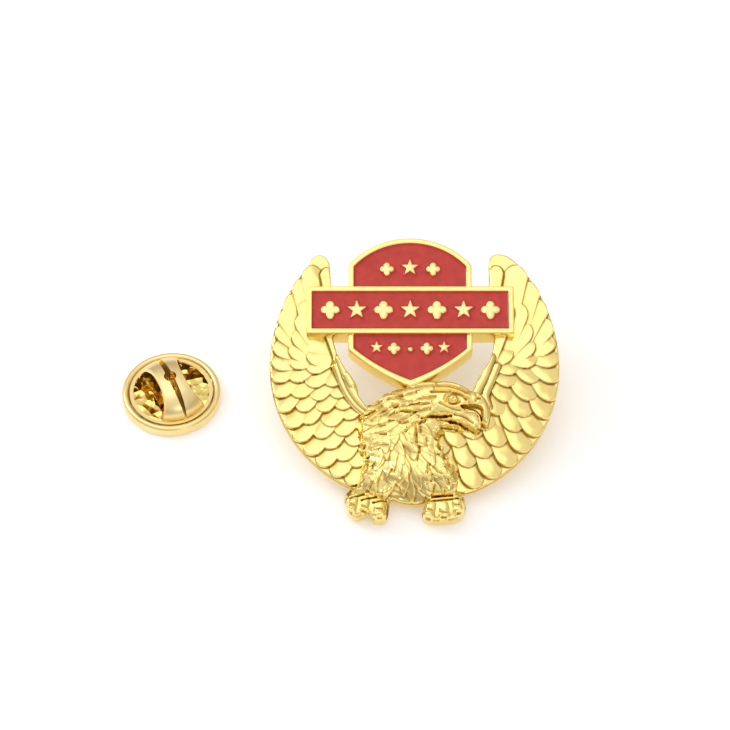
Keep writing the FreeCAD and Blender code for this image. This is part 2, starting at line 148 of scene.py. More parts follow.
def threshold(tree, value, limit):
    """1 where the value is under the limit."""
    node = tree.nodes.new("ShaderNodeMath")
    node.operation = "LESS_THAN"
    tree.links.new(value, node.inputs[0])
    node.inputs[1].default_value = limit
    return node.outputs[0]


def bump(tree, shader, height, strength, distance):
    """A bump of that height, in metres of distance."""
    node = tree.nodes.new("ShaderNodeBump")
    node.inputs["Strength"].default_value = strength
    node.inputs["Distance"].default_value = distance
    tree.links.new(height, node.inputs["Height"])
    tree.links.new(node.outputs["Normal"], shader.inputs["Normal"])


def mix(tree, factor, first, second):
    """A mix of two colours, or of sockets that give colours. Sockets 6 and 7 are the node's two colours."""
    node = tree.nodes.new("ShaderNodeMix")
    node.data_type = "RGBA"
    tree.links.new(factor, node.inputs["Factor"])
    for socket, value in ((node.inputs[6], first), (node.inputs[7], second)):
        if isinstance(value, tuple):
            socket.default_value = (*value, 1)
        else:
            tree.links.new(value, socket)
    return node.outputs[2]


# Heights over the clutch's foot, in metres.
PLATE_TOP = 0.0014
CUP_FLOOR_TOP = 0.0006

GOLD_PALE = (1.0, 0.82, 0.33)
GOLD_DEEP = (0.98, 0.74, 0.24)
# Painted shade: the dark brown that the cast gold takes in its hollows, standing in for shade and dark
# reflections there.
PAINTED_HOLLOW_SHADE = (0.32, 0.18, 0.035)
CLUTCH_PALE = (0.98, 0.80, 0.40)
CLUTCH_DEEP = (0.92, 0.71, 0.31)
CLUTCH_SHINE = (0.98, 0.74, 0.24)
ENAMEL_DARK = (0.49, 0.026, 0.016)
ENAMEL_LIGHT = (0.60, 0.040, 0.027)


def gold(name, rough, patch, grain, depth, pale=GOLD_PALE, deep=GOLD_DEEP, cavity=False):
    """Gold plate. Its colour and gloss drift over patches, and a fine grain of that depth roughens it.

    The patches and the grain are given as features for each metre, and rough holds the least and the most
    roughness. With cavity, shade is painted into the hollows: the cavity attribute mixes dark brown into the
    colour.
    """
    material, tree, shader = new_material(name)
    drift = noise(tree, patch)
    colour = mix(tree, drift, pale, deep)
    # Painted shade: the cavity attribute mixes the colour towards dark brown in the hollows.
    if cavity:
        hollow = tree.nodes.new("ShaderNodeAttribute")
        hollow.attribute_name = "cavity"
        colour = mix(tree, hollow.outputs["Fac"], colour, PAINTED_HOLLOW_SHADE)
    tree.links.new(colour, shader.inputs["Base Color"])
    shader.inputs["Metallic"].default_value = 1.0
    tree.links.new(spread(tree, drift, rough[0], rough[1]), shader.inputs["Roughness"])
    bump(tree, shader, noise(tree, grain), 1.0, depth)
    return material


def enamel_material():
    """Glossy red enamel, with a faint cloudiness and a slightly uneven skin."""
    material, tree, shader = new_material("red_enamel")
    cloud = noise(tree, 900.0, 4.0)
    colour = ramp(tree, cloud, ((0.3, ENAMEL_DARK), (0.7, ENAMEL_LIGHT)))
    tree.links.new(colour, shader.inputs["Base Color"])
    shader.inputs["Roughness"].default_value = 0.22
    shader.inputs["Coat Weight"].default_value = 0.15
    shader.inputs["Specular IOR Level"].default_value = 0.3
    shader.inputs["Coat Roughness"].default_value = 0.05
    bump(tree, shader, noise(tree, 1500.0), 0.5, 0.00001)
    return material


def clutch_gold(name, part):
    """Satin gold plate outside, and shiny inside: the wings' hollow side, or the cup's floor."""
    material, tree, shader = new_material(name)
    place = tree.nodes.new("ShaderNodeTexCoord")
    low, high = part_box("clutch_cup")
    middle = ((low[0] + high[0]) / 2, (low[1] + high[1]) / 2, low[2] + PLATE_TOP)
    away = vector_math(tree, "SUBTRACT", place.outputs["Object"], middle)
    facing = tree.nodes.new("ShaderNodeVectorMath")
    facing.operation = "DOT_PRODUCT"
    tree.links.new(vector_math(tree, "NORMALIZE", away), facing.inputs[0])
    tree.links.new(place.outputs["Normal"], facing.inputs[1])
    faces_inwards = -0.05
    hidden = threshold(tree, facing.outputs["Value"], faces_inwards)
    if part == "cup":
        upward = vector_math(tree, "MULTIPLY", place.outputs["Normal"], (0, 0, CUP_FLOOR_TOP))
        split = tree.nodes.new("ShaderNodeSeparateXYZ")
        tree.links.new(vector_math(tree, "SUBTRACT", place.outputs["Object"], upward), split.inputs[0])
        hidden = threshold(tree, split.outputs["Z"], low[2])
    drift = noise(tree, 500.0)
    satin = mix(tree, drift, CLUTCH_PALE, CLUTCH_DEEP)
    tree.links.new(mix(tree, hidden, satin, CLUTCH_SHINE), shader.inputs["Base Color"])
    shader.inputs["Metallic"].default_value = 1.0
    tree.links.new(spread(tree, hidden, 0.33, 0.08), shader.inputs["Roughness"])
    facets = tree.nodes.new("ShaderNodeTexVoronoi")
    facets.inputs["Scale"].default_value = 900.0
    tree.links.new(place.outputs["Object"], facets.inputs["Vector"])
    masked = tree.nodes.new("ShaderNodeMath")
    masked.operation = "MULTIPLY"
    tree.links.new(facets.outputs["Distance"], masked.inputs[0])
    tree.links.new(hidden, masked.inputs[1])
    bump(tree, shader, masked.outputs[0], 1.0, 0.0003)
    return material


# The cast gold paints shade into the wings' and the eagle's hollows from their cavity attribute.
CAST_GOLD = gold("cast_gold", (0.14, 0.26), 350.0, 6000.0, 0.000004, cavity=True)
ORNAMENT_GOLD = gold("ornament_gold", (0.18, 0.3), 900.0, 8000.0, 0.000003,
                     (0.97, 0.76, 0.36), (0.94, 0.66, 0.26))
POST_GOLD = gold("post_gold", (0.14, 0.24), 700.0, 9000.0, 0.000003)
SOLDER_GOLD = gold("solder_gold", (0.25, 0.45), 1400.0, 3500.0, 0.00002,
                   (0.9, 0.72, 0.4), (0.8, 0.6, 0.26))
SATIN_GOLD = gold("satin_gold", (0.26, 0.36), 500.0, 14000.0, 0.000005,
                  (0.97, 0.78, 0.38), (0.90, 0.68, 0.29))
BRIGHT_GOLD = gold("bright_gold", (0.1, 0.2), 500.0, 9000.0, 0.000003,
                   (1.0, 0.72, 0.28), (0.95, 0.6, 0.16))
CUP_GOLD = clutch_gold("cup_gold", "cup")
WING_GOLD = clutch_gold("wing_gold", "wing")
ENAMEL = enamel_material()

# ---------------------------------------------------------------- mesh help


def add_mesh(name, points, faces, material, body, sharp=80):
    """A piece from points in the badge's frame, riding on a body."""
    mesh = bpy.data.meshes.new(name)
    mesh.from_pydata([tuple(p) for p in points], [], faces)
    mesh.transform(BADGE)
    mesh.polygons.foreach_set("use_smooth", [True] * len(mesh.polygons))
    mesh.set_sharp_from_angle(angle=math.radians(sharp))
    mesh.materials.append(material)
    piece = bpy.data.objects.new(name, mesh)
    bpy.context.scene.collection.objects.link(piece)
    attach(piece, body)
    return piece


def smooth_step(x):
    """0 below 0, 1 above 1, and smooth between."""
    x = np.clip(x, 0, 1)
    return x * x * (3 - 2 * x)


def through(points, closed=False, per=8):
    """Points along a smooth curve through the given ones, per of them on each stretch."""
    given = np.array(points, float)
    if closed:
        padded = np.vstack([given[-1:], given, given[:2]])
    else:
        padded = np.vstack([2 * given[0] - given[1], given, 2 * given[-1] - given[-2]])
    made = []
    for k in range(len(padded) - 3):
        a, b, c, d = padded[k:k + 4]
        for t in np.arange(per) / per:
            made.append(0.5 * (2 * b + (c - a) * t + (2 * a - 5 * b + 4 * c - d) * t ** 2
                               + (3 * b - a - 3 * c + d) * t ** 3))
    if not closed:
        made.append(given[-1])
    return np.array(made)


def line_distance(U, V, line, closed=False):
    """Distance of each point from a line of points."""
    ends = np.roll(line, -1, axis=0) if closed else line[1:]
    best = np.full(U.shape, np.inf)
    for (au, av), (bu, bv) in zip(line, ends):
        du, dv = bu - au, bv - av
        t = np.clip(((U - au) * du + (V - av) * dv) / (du * du + dv * dv + 1e-12), 0, 1)
        best = np.minimum(best, (U - au - t * du) ** 2 + (V - av - t * dv) ** 2)
    return np.sqrt(best)


def inside_distance(U, V, outline):
    """Distance inwards from a closed outline, negative outside it."""
    inside = np.zeros(U.shape, bool)
    for (au, av), (bu, bv) in zip(outline, np.roll(outline, -1, axis=0)):
        if av != bv:
            crosses = (av > V) != (bv > V)
            inside ^= crosses & (U < au + (V - av) * (bu - au) / (bv - av))
    distance = line_distance(U, V, outline, closed=True)
    return np.where(inside, distance, -distance)


# Grid points nearer to the outline than this share of a step move onto it.
SNAP_SHARE = 0.52
# Rings of points down a relief's wall, as shares of the wall's height.
WALL_SHARES = (0.55, 0.06, 0.0)
RIPPLE_WAVES = 14


class Relief:
    """A height field over a grid, trimmed to a smooth outline and closed with walls and a flat back."""

    def __init__(self, footprint, low, high, step):
        self.step = step
        us = np.arange(low[0], high[0] + step, step)
        vs = np.arange(low[1], high[1] + step, step)
        self.low = low
        self.U, self.V = np.meshgrid(us, vs)
        inward = footprint(self.U, self.V)
        gv, gu = np.gradient(inward, step)
        size = gu ** 2 + gv ** 2 + 1e-9
        near = np.abs(inward) / np.sqrt(size) < SNAP_SHARE * step
        for _ in range(2):
            shift = np.where(near, inward / size, 0)
            self.U = self.U - shift * gu
            self.V = self.V - shift * gv
            inward = footprint(self.U, self.V)
        self.inward = np.where(near, 0.0, inward)
        self.H = np.zeros(self.U.shape)

    def window(self, centre, reach):
        """The part of the grid within reach of a point."""
        low = [max(0, int((c - reach - l) / self.step)) for c, l in zip(centre, self.low)]
        high = [int((c + reach - l) / self.step) + 2 for c, l in zip(centre, self.low)]
        return slice(low[1], high[1]), slice(low[0], high[0])

    def raise_to(self, where, height):
        """The surface becomes at least this high in that part of the grid."""
        self.H[where] = np.maximum(self.H[where], height)

    def hollows(self, reach, full):
        """How deep each point lies under its neighbourhood's mean, from 0 to 1 at a depth of full."""
        cells = int(round(reach / self.step))
        size = 2 * cells + 1
        mean = self.H
        for axis in (0, 1):
            padding = [(cells + 1, cells) if a == axis else (0, 0) for a in (0, 1)]
            total = np.cumsum(np.pad(mean, padding, "edge"), axis)
            ahead = np.take(total, range(size, total.shape[axis]), axis)
            behind = np.take(total, range(total.shape[axis] - size), axis)
            mean = (ahead - behind) / size
        return np.clip((mean - self.H) / full, 0, 1)

    def round_edge(self, radius):
        """Rounds the outer edge over."""
        t = 1 - np.clip(self.inward / radius, 0, 1)
        self.H -= radius * (1 - np.sqrt(np.clip(1 - t * t, 0, 1)))

    def ripple(self, height, size, seed):
        """Adds the soft unevenness of a cast and polished surface, with waves about that size apart."""
        rng = np.random.default_rng(seed)
        for _ in range(RIPPLE_WAVES):
            turn, phase = rng.uniform(0, math.tau, 2)
            pace = math.tau / (size * rng.uniform(0.7, 1.5))
            along = self.U * math.cos(turn) + self.V * math.sin(turn)
            self.H += height * 0.4 * np.sin(pace * along + phase)

    def surface_faces(self):
        """A quad for each cell inside the outline, and a triangle where the outline cuts one corner off."""
        inside = self.inward >= 0
        ids = np.arange(inside.size).reshape(inside.shape)
        corners = np.stack([ids[:-1, :-1], ids[:-1, 1:], ids[1:, 1:], ids[1:, :-1]], -1).reshape(-1, 4)
        good = inside.ravel()[corners]
        count = good.sum(1)
        quads = corners[count == 4].tolist()
        triangles = [cell[keep].tolist() for cell, keep in zip(corners[count == 3], good[count == 3])]
        return quads + triangles

    def build(self, name, material, floor=0.0, hollow=(0.3, 0.09)):
        """The closed mesh: relief, walls and a flat back. Its hollows are kept as the attribute cavity, by
        which the cast gold paints shade into them.
        """
        faces = self.surface_faces()
        used = np.unique([i for face in faces for i in face])
        number = np.full(self.H.size, -1)
        number[used] = np.arange(len(used))
        faces = [[int(number[i]) for i in face] for face in faces]
        points = np.stack([self.U.ravel(), self.V.ravel(), self.H.ravel()], -1)[used]
        cavity = self.hollows(*hollow).ravel()[used]
        edges = boundary(faces)
        rim = sorted({i for edge in edges for i in edge})
        rings = [{i: i for i in rim}]
        wall = []
        for share in WALL_SHARES:
            ring = {}
            for i in rim:
                ring[i] = len(points) + len(wall)
                u, v, w = points[i]
                wall.append((u, v, floor + (w - floor) * share))
            rings.append(ring)
        for upper, lower in zip(rings, rings[1:]):
            faces += [[upper[b], upper[a], lower[a], lower[b]] for a, b in edges]
        points = np.vstack([points, np.array(wall)])
        cavity = np.concatenate([cavity, np.zeros(len(wall))])
        faces += back_faces(points, edges, rings[-1])
        piece = add_mesh(name, points, faces, material, "badge")
        attribute = piece.data.attributes.new("cavity", "FLOAT", "POINT")
        attribute.data.foreach_set("value", cavity.astype(np.float32))
        return piece


def boundary(faces):
    """The edges that only one face has, each in that face's own direction."""
    edges = {}
    for face in faces:
        for a, b in zip(face, face[1:] + face[:1]):
            if (b, a) in edges:
                del edges[(b, a)]
            else:
                edges[(a, b)] = True
    return list(edges)


def back_faces(points, edges, ring):
    """Triangles across the flat back, inside the boundary edges."""
    order = sorted(ring)
    at = {i: k for k, i in enumerate(order)}
    flat = [Vector(points[ring[i]][:2]) for i in order]
    constraint = [(at[a], at[b]) for a, b in edges]
    _, _, faces, source, _, _ = delaunay_2d_cdt(flat, constraint, [], 1, 1e-7)
    lookup = [ring[order[s[0]]] for s in source]
    return [[lookup[i] for i in face][::-1] for face in faces]


# ---------------------------------------------------------------- wings

WING_CENTRE = (0.5, 19.0)
WING_HALF_WIDTH = 16.8
WING_RISE = 18.6
WING_DROP = 16.6
PLATE_W = 1.25
STEP_FALL = 0.5
STEP_WIDTH = 0.13
WING_STEP = 0.055
RIM_ANGLES = range(-66, 43, 3)
# How much the plate under the feathers rises for each millimetre inwards, and how far in it goes on rising.
WING_SLOPE = 0.085
WING_SLOPE_REACH = 9
# A feather's pointedness, the tilt that lifts its lower side, its crown and the droop of its tip.
FEATHER_POINT = 1.25
FEATHER_TILT = 0.17
FEATHER_CROWN = 0.16
FEATHER_DROOP = 0.12
FEATHER_DEEPEST = -0.35

# Columns of feathers, from the outer edge inwards: inset, first and last edge angle, count, half width and
# visible length.
LEFT_COLUMNS = (
    (0.15, 43, -70, 16, 1.32, 2.2),
    (2.1, 33, -72, 14, 1.38, 2.2),
    (4.1, 8, -74, 10, 1.35, 2.2),
    (6.2, -12, -72, 7, 1.35, 2.2),
)
RIGHT_COLUMNS = (
    (0.15, 43, -74, 14, 1.52, 2.6),
    (2.5, 33, -78, 12, 1.58, 2.6),
    (5.0, 10, -78, 9, 1.55, 2.6),
    (7.5, -12, -80, 6, 1.50, 2.5),
    (9.8, -42, -80, 4, 1.40, 2.4),
)
# Long feathers that rise from the wrist behind the banner: tip, heading, half width, length.
LEFT_LONG = (((-9.75, 31.2), 80, 1.0, 15.0), ((-9.9, 26.4), 72, 1.25, 12.0))
RIGHT_LONG = (((10.2, 31.4), 80, 1.0, 15.0), ((11.4, 26.6), 70, 1.35, 12.0))
# The wings' inner edges, from the wing tip down to the breast.
LEFT_INNER = [
    (-11.6, 32.4), (-10.9, 32.9), (-10.1, 32.8), (-9.5, 32.0), (-9.3, 30.6), (-9.2, 26.0), (-9.0, 22.4),
    (-8.5, 20.2), (-7.7, 18.4), (-6.75, 17.0), (-6.15, 15.9), (-6.0, 14.9), (-5.4, 13.9), (-4.2, 12.0),
    (-3.6, 8.0), (-4.6, 4.0), (-5.6, 3.5),
]
RIGHT_INNER = [
    (12.2, 32.3), (11.2, 32.9), (10.1, 33.0), (9.45, 32.5), (9.25, 31.0), (9.4, 26.0), (9.75, 22.4),
    (9.3, 19.6), (8.5, 18.2), (7.7, 16.8), (7.0, 15.4), (5.0, 13.6), (3.2, 11.0), (2.8, 7.0),
    (4.2, 4.2), (5.2, 3.6), (6.2, 3.5),
]
# The arm's bones: path, radius, height.
LEFT_BONES = (
    (((-8.1, 19.4), (-7.35, 17.2), (-6.7, 15.6), (-5.6, 14.0), (-4.2, 13.0)), 0.85, 2.75),
    (((-8.6, 18.6), (-7.7, 16.0), (-6.6, 14.1), (-5.2, 12.7)), 0.6, 2.5),
    (((-7.3, 17.3), (-6.75, 16.2)), 0.75, 2.95),
)
RIGHT_BONES = (
    (((9.2, 19.6), (8.6, 17.6), (7.9, 16.2), (7.2, 14.9)), 0.8, 2.6),
    (((10.0, 18.6), (9.2, 16.6), (8.6, 15.0), (8.9, 13.6)), 0.6, 2.45),
)


def edge_point(side, angle, inset=0.0):
    """A point on a wing's outer edge, at an angle above the way out from the middle."""
    a = math.radians(angle)
    rise = WING_RISE if angle > 0 else WING_DROP
    u = WING_CENTRE[0] + side * (WING_HALF_WIDTH - inset) * math.cos(a)
    return np.array((u, WING_CENTRE[1] + (rise - inset) * math.sin(a)))


def heading(side, angle):
    """Which way a feather at that edge angle points: up at the wing tip, then outwards, then down."""
    middle, swing = (10, 72) if side < 0 else (3, 79)
    turn = math.radians(middle + swing * math.tanh((angle - 7) / 18))
    return np.array((side * math.cos(turn), math.sin(turn)))


def turned(way, angle):
    """A direction turned by a small angle."""
    c, s = math.cos(angle), math.sin(angle)
    return np.array((way[0] * c - way[1] * s, way[0] * s + way[1] * c))


def feather(relief, ground, side, tip, way, half, length, visible, lift=0.32):
    """Lays one feather on the ground surface: its tip and its lower side stand proud, and the rest sinks."""
    down = np.array((way[1], -way[0])) * side
    where = relief.window(tip, length + half)
    du, dv = relief.U[where] - tip[0], relief.V[where] - tip[1]
    x = du * way[0] + dv * way[1]
    y = du * down[0] + dv * down[1]
    round_tip = np.hypot(np.clip(x + FEATHER_POINT * half, 0, None) / FEATHER_POINT, y)
    inside = np.minimum(half - round_tip, x + length)
    rise = lift * (1 + x / visible) + FEATHER_TILT * y - FEATHER_CROWN * (y / half) ** 2
    rise -= FEATHER_DROOP * np.clip(1 + x / half, 0, 1) ** 2
    rise = np.clip(rise, FEATHER_DEEPEST, None)
    rise -= STEP_FALL * (1 - smooth_step(inside / STEP_WIDTH))
    relief.raise_to(where, np.where(inside > 0, ground[where] + rise, 0))


def wing(side, name, columns, long_feathers, inner, bones):
    """One wing: a plate with columns of feathers laid from the outer edge inwards, and the arm's bone."""
    rng = np.random.default_rng(SEED + side)
    rim = [edge_point(side, a) for a in RIM_ANGLES]
    outline = np.vstack([through(inner, per=6), rim])
    lows = outline.min(0) - 0.3
    highs = outline.max(0) + 0.3
    relief = Relief(lambda U, V: inside_distance(U, V, outline), lows, highs, WING_STEP)
    U, V = relief.U, relief.V
    rise = np.where(V > WING_CENTRE[1], WING_RISE, WING_DROP)
    out = np.hypot((U - WING_CENTRE[0]) / WING_HALF_WIDTH, (V - WING_CENTRE[1]) / rise)
    ground = PLATE_W + WING_SLOPE * np.clip((1 - out) * WING_HALF_WIDTH, 0, WING_SLOPE_REACH)
    relief.H = ground - 0.12
    for inset, first, last, count, half, visible in columns:
        for k in range(count):
            angle = first + (last - first) * (k + (0.5 if inset > 1 else 0)) / count
            high = smooth_step((angle - 8) / 30)
            length = 4.4 + 9 * high
            tip = edge_point(side, angle, inset) + rng.uniform(-0.18, 0.18, 2) * (inset > 1)
            way = turned(heading(side, angle), rng.uniform(-0.09, 0.09))
            wide = half * rng.uniform(0.95, 1.06)
            feather(relief, ground, side, tip, way, wide, length, visible + 5 * high)
    for tip, turn, half, length in long_feathers:
        way = np.array((side * math.cos(math.radians(turn)), math.sin(math.radians(turn))))
        feather(relief, ground + 0.1, side, np.array(tip), way, half, length, 9.0, 0.35)
    for path, radius, height in bones:
        away = line_distance(U, V, through(path, per=5)) / radius
        crown = height - 0.9 * (1 - np.sqrt(np.clip(1 - away ** 2, 0, 1)))
        relief.raise_to(np.s_[:, :], np.where(away < 1, crown, 0))
    relief.ripple(0.008, 1.7, SEED)
    relief.round_edge(0.22)
    relief.build(name, CAST_GOLD)


def make_wings():
    """Both wings."""
    wing(-1, "left_wing_relief", LEFT_COLUMNS, LEFT_LONG, LEFT_INNER, LEFT_BONES)
    wing(1, "right_wing_relief", RIGHT_COLUMNS, RIGHT_LONG, RIGHT_INNER, RIGHT_BONES)


# ---------------------------------------------------------------- eagle

BODY_STEP = 0.05
BODY_EDGE = 1.55
BODY_SWELL = 1.1
BODY_OUTLINE = [
    (-5.65, 13.3), (-4.4, 14.35), (-2.9, 15.3), (-1.1, 16.0), (0.95, 16.5), (2.9, 16.65), (4.7, 16.5),
    (6.05, 16.0), (7.2, 15.25), (8.35, 14.55), (9.0, 13.5), (9.15, 12.3), (8.95, 11.2), (8.55, 10.45),
    (8.25, 10.9), (7.9, 10.3), (7.3, 10.05), (5.6, 10.3), (3.9, 10.35), (3.45, 9.3), (4.3, 7.4),
    (5.1, 6.3), (5.35, 4.9), (5.3, 3.7), (6.0, 3.0), (6.25, 1.95), (5.9, 0.85), (4.8, 0.2),
    (3.3, 0.05), (1.9, 0.15), (1.25, 0.75), (1.5, 1.7), (2.1, 2.5), (0.6, 2.15), (-1.1, 2.35),
    (-2.3, 2.6), (-2.5, 1.6), (-2.75, 0.45), (-3.5, 0.05), (-4.35, 0.2), (-4.85, 0.85), (-5.5, 0.7),
    (-6.4, 0.5), (-7.2, 1.3), (-7.6, 2.8), (-7.0, 3.8), (-6.1, 4.4), (-5.8, 5.6), (-5.45, 6.9),
    (-5.75, 8.2), (-6.15, 9.7), (-6.25, 11.5),
]
FLOW_CENTRE = (-1.6, 14.9)
NAPE_FLOW = (-0.92, -0.40)
# The grid of tufts: rows from the feet up, and the places and scatter along each row.
TUFT_ROWS = np.arange(2.7, 16.4, 1.2)
TUFT_FIRST = -7.6
TUFT_LAST = 6.2
TUFT_GAP = 1.1
TUFT_SCATTER = 0.5
TUFT_SWERVE = 0.3
TUFT_HALF = (0.55, 0.85)
TUFT_LENGTH = (3.0, 4.4)
TUFT_LIFT = (0.24, 0.40)
# A tuft's tilt across, its crown, the crease along its middle, and the step at its edge.
TUFT_TILT = 0.12
TUFT_CROWN = 0.14
TUFT_CREASE = 0.03
TUFT_STEP = 0.34
TUFT_STEP_WIDTH = 0.10
# The share of tufts with a dark stroke along their lower side, and that stroke's length.
STROKE_CHANCE = 0.35
STROKE_LENGTH = (0.5, 1.3)
STROKE_RADIUS = 0.09
STROKE_RISE = -0.16
# The thighs' rounded masses: centre, half sizes, turn in degrees, height, and fall at the edge.
THIGHS = (
    ((-3.7, 5.2), (2.3, 2.5), 10, 3.3, 1.6),
    ((3.0, 5.0), (2.6, 2.3), -25, 3.2, 1.6),
)


def flow(point):
    """Which way the plumage lies at a point: back along the neck, then fanning out down the breast."""
    away = (np.array(point) - FLOW_CENTRE) / 4
    nape = smooth_step((point[1] - 0.5 * point[0] - 9.2) / 2.4)
    away = away * (1 - nape) + np.array(NAPE_FLOW) * nape
    away = away + np.array((0.5, 0.0)) * (1 - nape) * (point[0] > -1)
    return away / np.hypot(*away)


def tuft(relief, ground, tip, way, half, length, lift):
    """One pointed tuft of plumage, whose tip stands proud of the ground surface."""
    where = relief.window(tip, length)
    du, dv = relief.U[where] - tip[0], relief.V[where] - tip[1]
    x = du * way[0] + dv * way[1]
    y = du * -way[1] + dv * way[0]
    share = np.clip(-x / length, 0, 1)
    width = half * np.clip(share * 3.2, 0, 1) ** 0.6 * (1 - 0.3 * share)
    inside = np.minimum(width - np.abs(y), x + length)
    inside = np.where(x > 0, -1, inside)
    rise = lift * (1 - 1.25 * share) + TUFT_TILT * y / half - TUFT_CROWN * (y / half) ** 2
    rise -= TUFT_CREASE * np.exp(-((y - 0.05) / 0.07) ** 2) * smooth_step(share / 0.3)
    rise -= TUFT_STEP * (1 - smooth_step(inside / TUFT_STEP_WIDTH))
    relief.raise_to(where, np.where(inside > 0, ground[where] + rise, 0))


def plumage(relief, ground):
    """Tufts over the neck, breast and thighs. Each row covers the roots of the row under it."""
    rng = np.random.default_rng(SEED)
    strokes = []
    for row, v in enumerate(TUFT_ROWS):
        for u in np.arange(TUFT_FIRST + TUFT_GAP / 2 * (row % 2), TUFT_LAST, TUFT_GAP):
            tip = np.array((u, v)) + rng.uniform(-TUFT_SCATTER, TUFT_SCATTER, 2)
            way = turned(flow(tip), rng.uniform(-TUFT_SWERVE, TUFT_SWERVE))
            half = rng.uniform(*TUFT_HALF)
            length = rng.uniform(*TUFT_LENGTH)
            lift = rng.uniform(*TUFT_LIFT)
            on_head = tip[0] > 1.6 and tip[1] > 11.0
            if on_head:
                continue
            tuft(relief, ground, tip, way, half, length, lift)
            if rng.uniform() < STROKE_CHANCE:
                below = np.array((-way[1], way[0])) * half
                end = tip + 1.05 * below - way * rng.uniform(*STROKE_LENGTH)
                strokes.append((tip + 0.5 * below, end))
    for path in strokes:
        ridge(relief, path, STROKE_RADIUS, STROKE_RISE)


def ridge(relief, path, radius, rise):
    """Adds a soft ridge along a path, or a groove where rise is negative."""
    away = line_distance(relief.U, relief.V, through(path, per=5)) / radius
    relief.H += rise * np.exp(-away ** 2)


def lump(relief, centre, radii, turn, height, sink=1.2):
    """Raises a rounded mass, such as a toe or the brow."""
    a = math.radians(turn)
    du, dv = relief.U - centre[0], relief.V - centre[1]
    x = (du * math.cos(a) + dv * math.sin(a)) / radii[0]
    y = (dv * math.cos(a) - du * math.sin(a)) / radii[1]
    away = x * x + y * y
    crown = height - sink * (1 - np.sqrt(np.clip(1 - away, 0, 1)))
    relief.raise_to(np.s_[:, :], np.where(away < 1, crown, 0))


# Fine grooves along the neck.
NECK_LINES = (
    ((-5.3, 13.0), (-4.4, 13.6), (-3.4, 13.9)),
    ((-4.4, 11.5), (-3.0, 12.7), (-1.6, 13.3)),
    ((-2.6, 14.2), (-1.0, 14.6), (0.6, 14.95)),
    ((-2.3, 12.2), (-0.8, 13.2), (0.9, 13.6)),
    ((-1.2, 11.4), (0.4, 12.5), (2.2, 12.9)),
    ((0.2, 13.8), (1.6, 14.3), (2.8, 14.3)),
    ((0.2, 15.6), (1.4, 15.9), (2.6, 16.0)),
    ((-0.4, 10.6), (0.6, 11.2), (1.6, 11.5)),
    ((3.2, 15.9), (4.4, 15.9), (5.4, 15.6)),
)


NECK_LINE_RADIUS = 0.17
NECK_LINE_RISE = -0.2
# Rounded masses that make the head: centre, half sizes, turn in degrees, height.
HEAD_MASSES = (
    ((4.4, 14.2), (3.6, 2.35), -8, 3.75),
    ((1.4, 14.5), (3.6, 2.0), 14, 3.55),
    ((7.3, 14.1), (1.75, 1.2), -28, 3.8),
    ((8.35, 12.9), (0.85, 1.9), 12, 3.6),
)
# Ridges and grooves: path, radius, and rise, which is negative for a groove.
BROW = (
    (((2.9, 15.35), (4.4, 15.25), (5.7, 14.8), (6.5, 14.35)), 0.32, 0.26),
    (((2.4, 15.0), (3.9, 14.95), (5.2, 14.75), (6.4, 14.05)), 0.15, -0.25),
)
CHEEK = (((3.3, 13.6), (4.4, 13.05), (5.6, 12.75), (6.4, 12.95)), 0.12, -0.2)
TONGUE = (((6.3, 12.85), (7.2, 12.75), (7.75, 12.2), (7.95, 11.5)), 0.17, 0.55)
NOSTRIL = (
    (((7.5, 14.55), (7.62, 14.2), (7.45, 13.8)), 0.14, -0.22),
    (((7.75, 14.15), (7.9, 14.12)), 0.12, -0.3),
)
THROAT = (
    (((1.3, 11.75), (3.0, 12.1), (4.6, 12.15)), 0.15, -0.4),
    (((2.4, 12.0), (3.2, 12.1), (3.9, 12.15)), 0.27, -0.4),
    (((3.5, 11.75), (5.4, 11.25), (7.2, 10.4)), 0.14, -0.4),
    (((4.6, 11.45), (5.5, 11.2), (6.4, 10.85)), 0.24, -0.45),
    (((3.5, 10.95), (4.4, 10.8), (5.3, 10.75)), 0.13, -0.35),
)
# The open beak: its outline, its floor, and the lower beak's masses as centre, half sizes and turn.
GAPE = (
    (5.7, 13.3), (7.0, 13.45), (8.1, 13.15), (8.25, 12.2),
    (8.0, 11.2), (7.7, 11.9), (7.2, 12.6), (6.2, 12.85),
)
MOUTH_FLOOR = 2.6
LOWER_BEAK = (((6.3, 12.2), (1.3, 0.5), -22), ((7.4, 11.5), (0.9, 0.42), -48))
LOWER_BEAK_LINE = (((5.0, 12.3), (6.2, 11.95), (7.1, 11.3)), 0.10, -0.22)


def eye(relief):
    """The eye: a sunk socket, the ball that stands in it, and a small pupil."""
    socket = np.hypot((relief.U - 4.8) / 0.98, (relief.V - 14.1) / 0.74)
    relief.H -= 0.42 * np.exp(-socket ** 6)
    ball = np.hypot(relief.U - 4.85, relief.V - 14.12) / 0.52
    relief.H += 0.5 * np.sqrt(np.clip(1 - ball ** 2, 0, 1))
    pupil = np.hypot(relief.U - 4.9, relief.V - 14.12) / 0.15
    relief.H -= 0.16 * np.exp(-pupil ** 4)


def mouth(relief):
    """The open beak: a hollow under the upper beak, with the tongue and the lower beak in it."""
    opening = inside_distance(relief.U, relief.V, through(GAPE, closed=True, per=4))
    relief.H = relief.H + (MOUTH_FLOOR - relief.H) * smooth_step(opening / 0.14 + 0.4)
    ridge(relief, *TONGUE)
    for centre, radii, turn in LOWER_BEAK:
        lump(relief, centre, radii, turn, 3.15, 0.4)
    ridge(relief, *LOWER_BEAK_LINE)


def head(relief):
    """The head: its masses, the neck's streaks, brow, eye, open hooked beak and the throat's folds."""
    for centre, radii, turn, height in HEAD_MASSES:
        lump(relief, centre, radii, turn, height)
    for path in NECK_LINES:
        ridge(relief, path, NECK_LINE_RADIUS, NECK_LINE_RISE)
    for line in BROW:
        ridge(relief, *line)
    eye(relief)
    ridge(relief, *CHEEK)
    mouth(relief)
    for line in NOSTRIL + THROAT:
        ridge(relief, *line)


